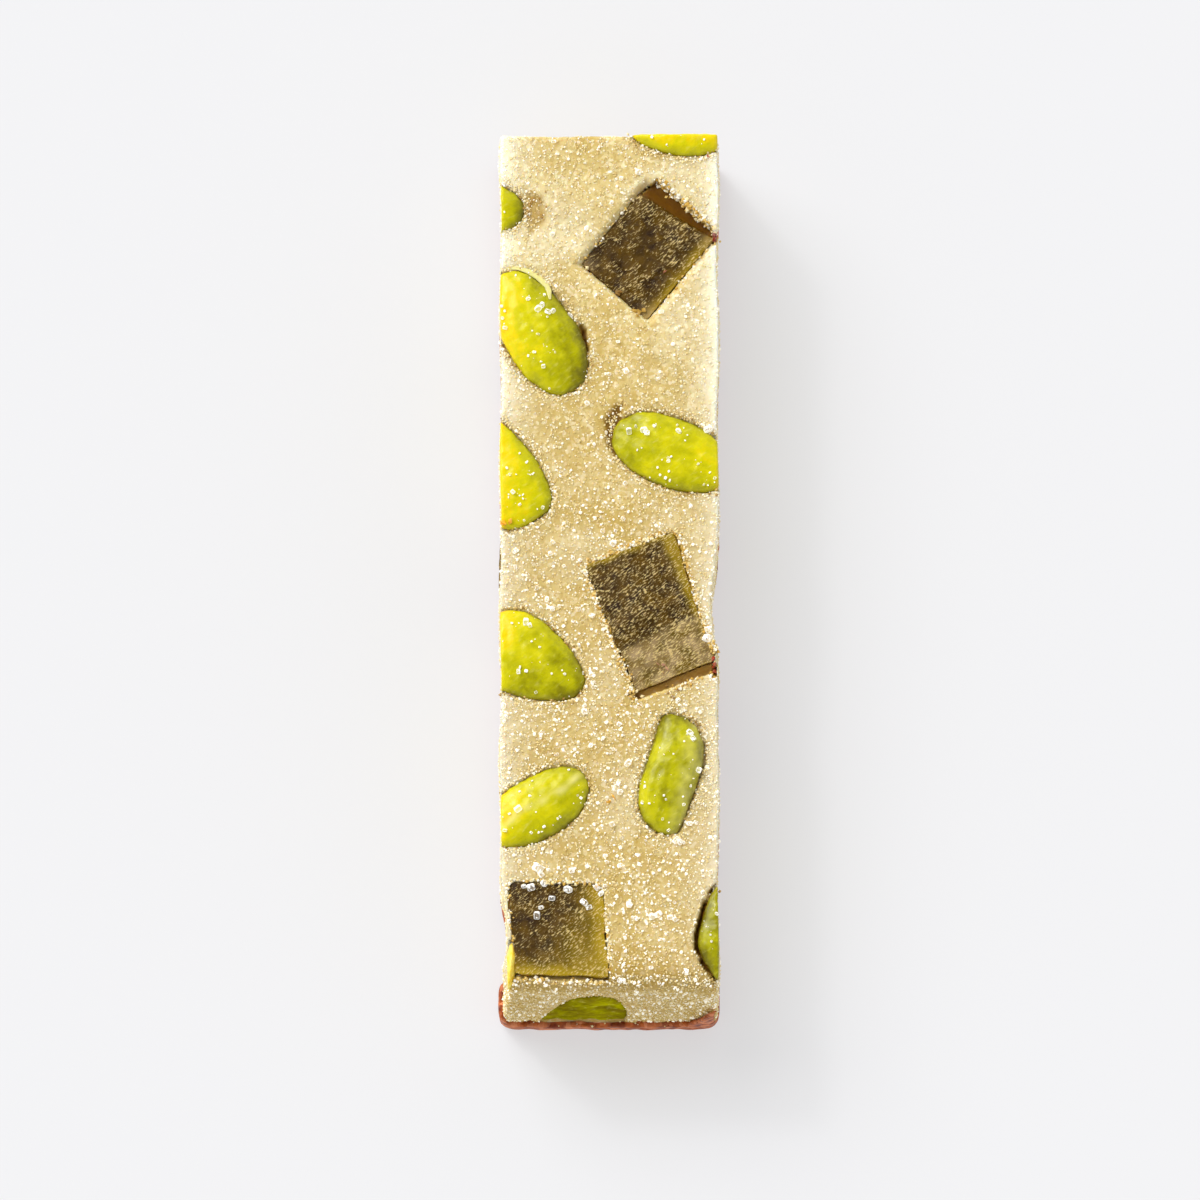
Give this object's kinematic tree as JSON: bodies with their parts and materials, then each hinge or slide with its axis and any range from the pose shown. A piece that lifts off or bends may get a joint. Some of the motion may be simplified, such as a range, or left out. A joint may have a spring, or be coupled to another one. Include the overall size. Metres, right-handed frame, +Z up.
{
  "type": "almond paste bar with chocolate base",
  "caption": "Oblong bar of granular almond paste set with pistachio kernels and candied fruit cubes, on a thin chocolate base with a foot round one end.",
  "frame": {"origin": "under the middle of the bar, on the surface that it rests on", "axes": "+Y along the bar, away from the end with the chocolate foot; +Z up; +X to the right seen from that end"},
  "size_m": [0.027, 0.108, 0.0215],
  "materials": {
    "paste": "matt, granular, with sugar crystals",
    "chocolate": "matt, grainy",
    "kernel": "satin",
    "fruit": "jelly with a sugar frost",
    "peel": "satin"
  },
  "bodies": {
    "root": {"chocolate_base": "chocolate", "almond_paste": "paste", "pistachio_01": "kernel", "pistachio_02": "kernel", "pistachio_03": "kernel", "pistachio_04": "kernel", "pistachio_05": "kernel", "pistachio_06": "kernel", "pistachio_07": "kernel", "pistachio_08": "kernel", "pistachio_09": "kernel", "pistachio_10": "kernel", "pistachio_11": "kernel", "pistachio_12": "kernel", "pistachio_13": "kernel", "pistachio_14": "kernel", "pistachio_15": "kernel", "pistachio_16": "kernel", "fruit_cube_1": "fruit", "fruit_cube_2": "fruit", "fruit_cube_3": "fruit", "fruit_cube_4": "fruit", "fruit_cube_5": "fruit", "fruit_cube_6": "fruit", "peel_sliver": "peel"}
  },
  "joints": []
}
